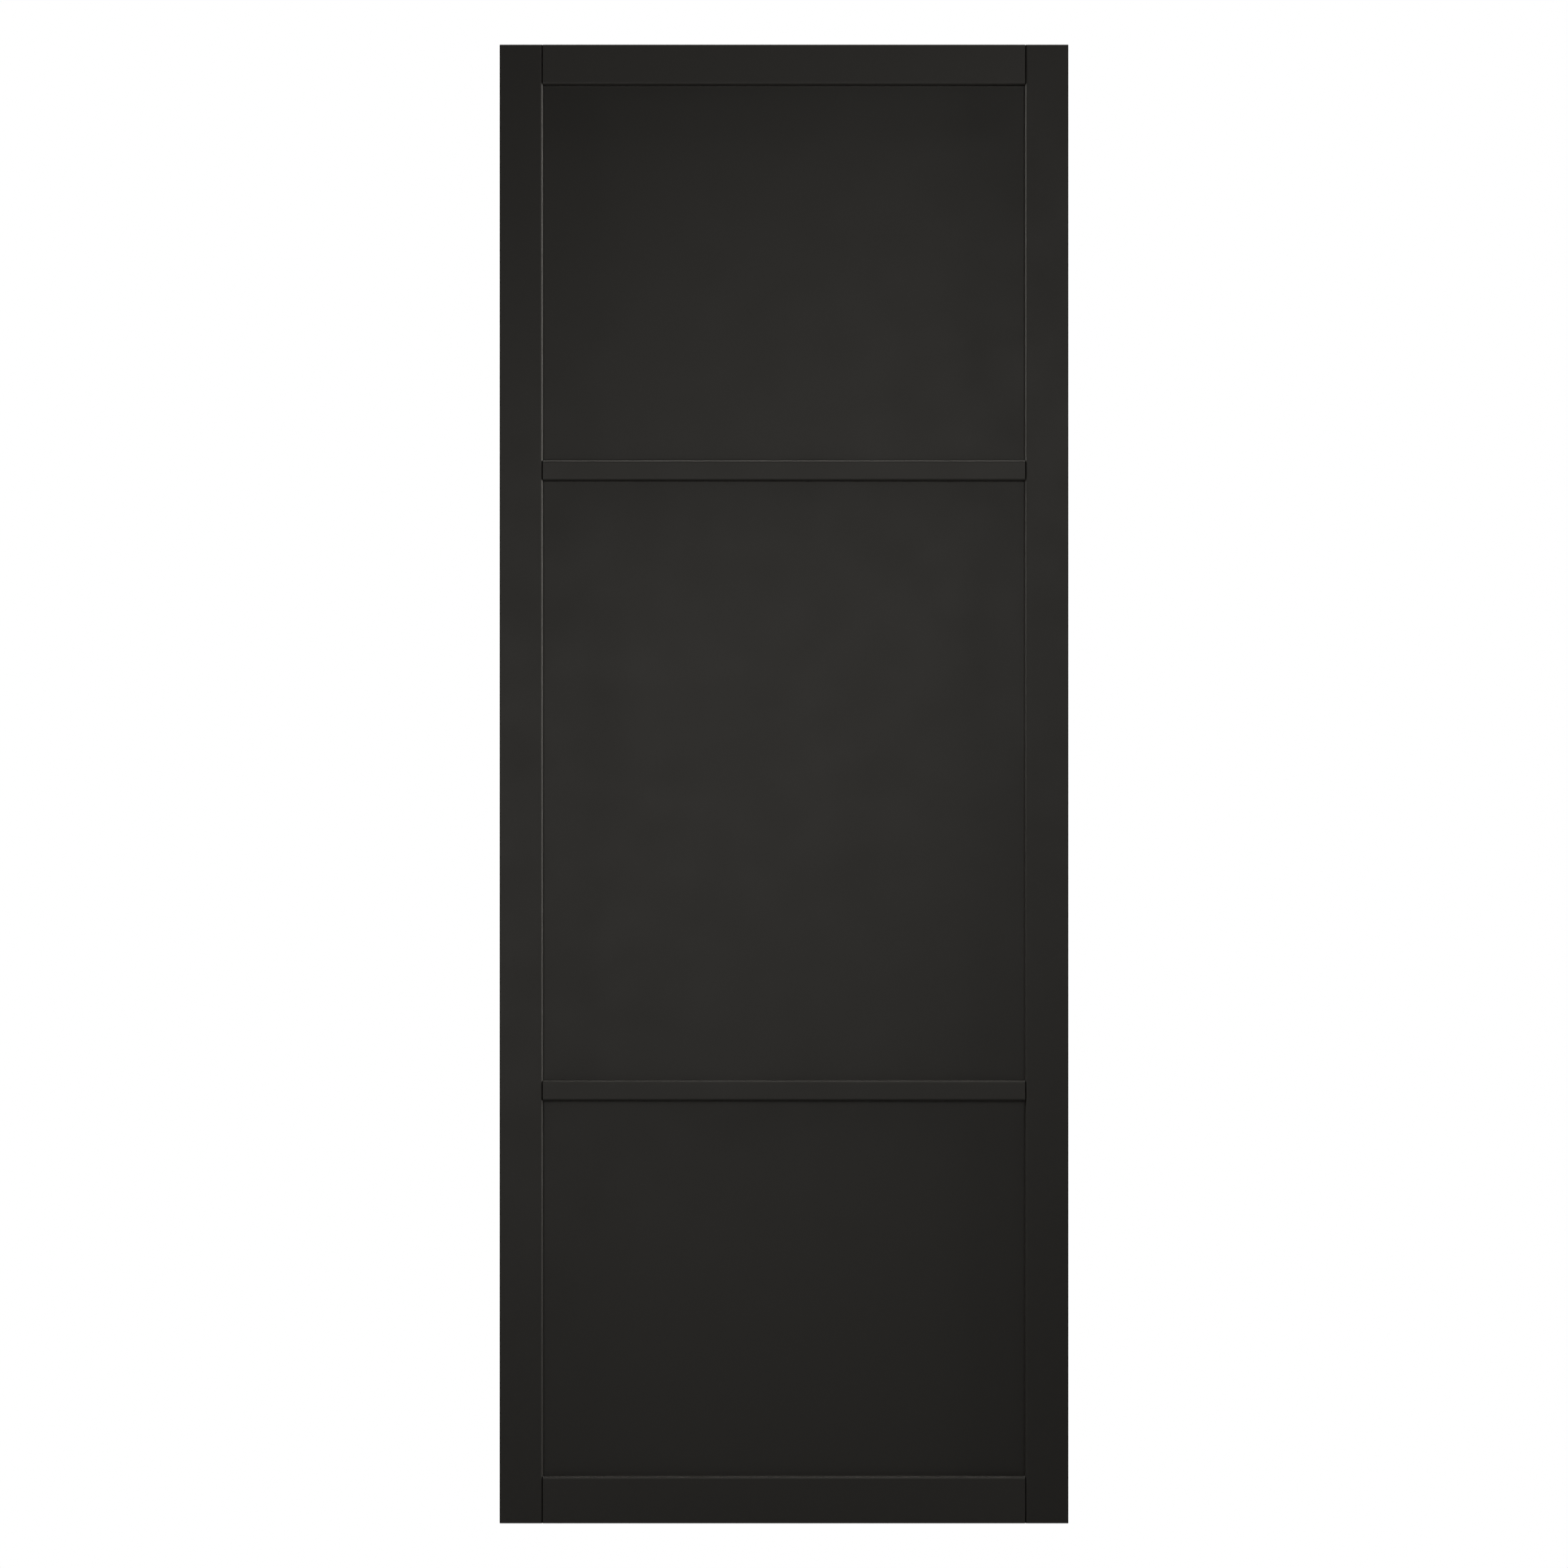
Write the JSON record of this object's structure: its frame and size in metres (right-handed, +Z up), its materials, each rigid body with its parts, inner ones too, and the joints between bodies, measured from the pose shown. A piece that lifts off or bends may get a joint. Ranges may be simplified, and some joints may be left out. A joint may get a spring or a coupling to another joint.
{
  "type": "sliding wardrobe door",
  "caption": "Black three-panel framed sliding door for a wardrobe, with flat recessed panels, height-adjustable bottom rollers, slide-up top guides and rear brush strips.",
  "frame": {"origin": "middle of the leaf's bottom edge, at half its 35 mm thickness", "axes": "+X right as seen from the front, -Y the front face, +Z up"},
  "size_m": [0.762, 0.0421, 1.981],
  "materials": {
    "black_foil": "satin black foil on MDF",
    "beech": "plain fluted beech",
    "pad_rubber": "matt",
    "zinc_plated_steel": "clear zinc plate",
    "bright_steel": "ground and polished",
    "black_steel": "black oxide",
    "cast_zinc": "as cast",
    "nylon": "natural, moulded",
    "black_plastic": "fine moulded texture",
    "brush_backing": "woven backing tape",
    "brush_pile": "dense upright fibres"
  },
  "bodies": {
    "leaf": {"left_stile": "black_foil", "right_stile": "black_foil", "top_rail": "black_foil", "upper_mid_rail": "black_foil", "lower_mid_rail": "black_foil", "bottom_rail": "black_foil", "upper_panel": "black_foil", "middle_panel": "black_foil", "lower_panel": "black_foil", "panel_pads": "pad_rubber", "top_rail_dowels": "beech", "bottom_rail_dowels": "beech", "left_roller_housing": "zinc_plated_steel", "right_roller_housing": "zinc_plated_steel", "housing_screws": "zinc_plated_steel", "left_guide_case": "black_plastic", "right_guide_case": "black_plastic", "guide_screws": "zinc_plated_steel", "left_slot_bezel": "black_plastic", "right_slot_bezel": "black_plastic", "anti_jump_screws": "black_steel", "left_brush_base": "brush_backing", "right_brush_base": "brush_backing", "left_brush_pile": "brush_pile", "right_brush_pile": "brush_pile", "left_adjuster_cap": "black_plastic", "right_adjuster_cap": "black_plastic"},
    "left_carrier": {"left_wheel_carrier": "zinc_plated_steel", "left_cam_pins": "bright_steel", "left_axle": "bright_steel", "left_bearing_inner_ring": "bright_steel"},
    "left_wheel": {"left_wheel": "nylon", "left_bearing_outer_ring": "bright_steel", "left_bearing_balls": "bright_steel"},
    "left_cam": {"left_cam_bar": "cast_zinc"},
    "left_adjuster": {"left_adjuster_screw": "zinc_plated_steel", "left_adjuster_clip": "black_steel"},
    "left_guide": {"left_guide_bolt": "black_plastic", "left_guide_pin": "bright_steel", "left_thumb_slide": "black_plastic"},
    "left_guide_roller": {"left_guide_roller": "nylon"},
    "left_block": {"left_anti_jump_block": "black_plastic"},
    "right_carrier": {"right_wheel_carrier": "zinc_plated_steel", "right_cam_pins": "bright_steel", "right_axle": "bright_steel", "right_bearing_inner_ring": "bright_steel"},
    "right_wheel": {"right_wheel": "nylon", "right_bearing_outer_ring": "bright_steel", "right_bearing_balls": "bright_steel"},
    "right_cam": {"right_cam_bar": "cast_zinc"},
    "right_adjuster": {"right_adjuster_screw": "zinc_plated_steel", "right_adjuster_clip": "black_steel"},
    "right_guide": {"right_guide_bolt": "black_plastic", "right_guide_pin": "bright_steel", "right_thumb_slide": "black_plastic"},
    "right_guide_roller": {"right_guide_roller": "nylon"},
    "right_block": {"right_anti_jump_block": "black_plastic"}
  },
  "joints": [
    {"name": "left_roller_height", "type": "slide", "parent": "leaf", "child": "left_carrier", "axis": [0, 0, -1], "range_m": [0, 0.01]},
    {"name": "left_cam_travel", "type": "slide", "parent": "leaf", "child": "left_cam", "axis": [-1, 0, 0], "range_m": [0, 0.012]},
    {"name": "left_adjuster_turn", "type": "hinge", "parent": "leaf", "child": "left_adjuster", "pos_m": [-0.282, 0, 0.0345], "axis": [1, 0, 0], "range_deg": [0, 5400.01]},
    {"name": "left_wheel_spin", "type": "hinge", "parent": "left_carrier", "child": "left_wheel", "pos_m": [-0.229, 0, 0.014], "axis": [0, 1, 0], "continuous": true},
    {"name": "left_guide_slide", "type": "slide", "parent": "leaf", "child": "left_guide", "axis": [0, 0, 1], "range_m": [0, 0.014]},
    {"name": "left_guide_roller_spin", "type": "hinge", "parent": "left_guide", "child": "left_guide_roller", "pos_m": [-0.262, 0, 1.97275], "axis": [0, 0, 1], "continuous": true},
    {"name": "left_block_slide", "type": "slide", "parent": "leaf", "child": "left_block", "axis": [0, 0, -1], "range_m": [0, 0.008]},
    {"name": "right_roller_height", "type": "slide", "parent": "leaf", "child": "right_carrier", "axis": [0, 0, -1], "range_m": [0, 0.01]},
    {"name": "right_cam_travel", "type": "slide", "parent": "leaf", "child": "right_cam", "axis": [1, 0, 0], "range_m": [0, 0.012]},
    {"name": "right_adjuster_turn", "type": "hinge", "parent": "leaf", "child": "right_adjuster", "pos_m": [0.282, 0, 0.0345], "axis": [-1, 0, 0], "range_deg": [0, 5400.01]},
    {"name": "right_wheel_spin", "type": "hinge", "parent": "right_carrier", "child": "right_wheel", "pos_m": [0.229, 0, 0.014], "axis": [0, 1, 0], "continuous": true},
    {"name": "right_guide_slide", "type": "slide", "parent": "leaf", "child": "right_guide", "axis": [0, 0, 1], "range_m": [0, 0.014]},
    {"name": "right_guide_roller_spin", "type": "hinge", "parent": "right_guide", "child": "right_guide_roller", "pos_m": [0.262, 0, 1.97275], "axis": [0, 0, 1], "continuous": true},
    {"name": "right_block_slide", "type": "slide", "parent": "leaf", "child": "right_block", "axis": [0, 0, -1], "range_m": [0, 0.008]}
  ],
  "couplings": [
    {"joint": "left_cam_travel", "follows": "left_roller_height", "ratio": 1.2},
    {"joint": "left_adjuster_turn", "follows": "left_roller_height", "rad_per_m": 9424.8},
    {"joint": "right_cam_travel", "follows": "right_roller_height", "ratio": 1.2},
    {"joint": "right_adjuster_turn", "follows": "right_roller_height", "rad_per_m": 9424.8}
  ]
}
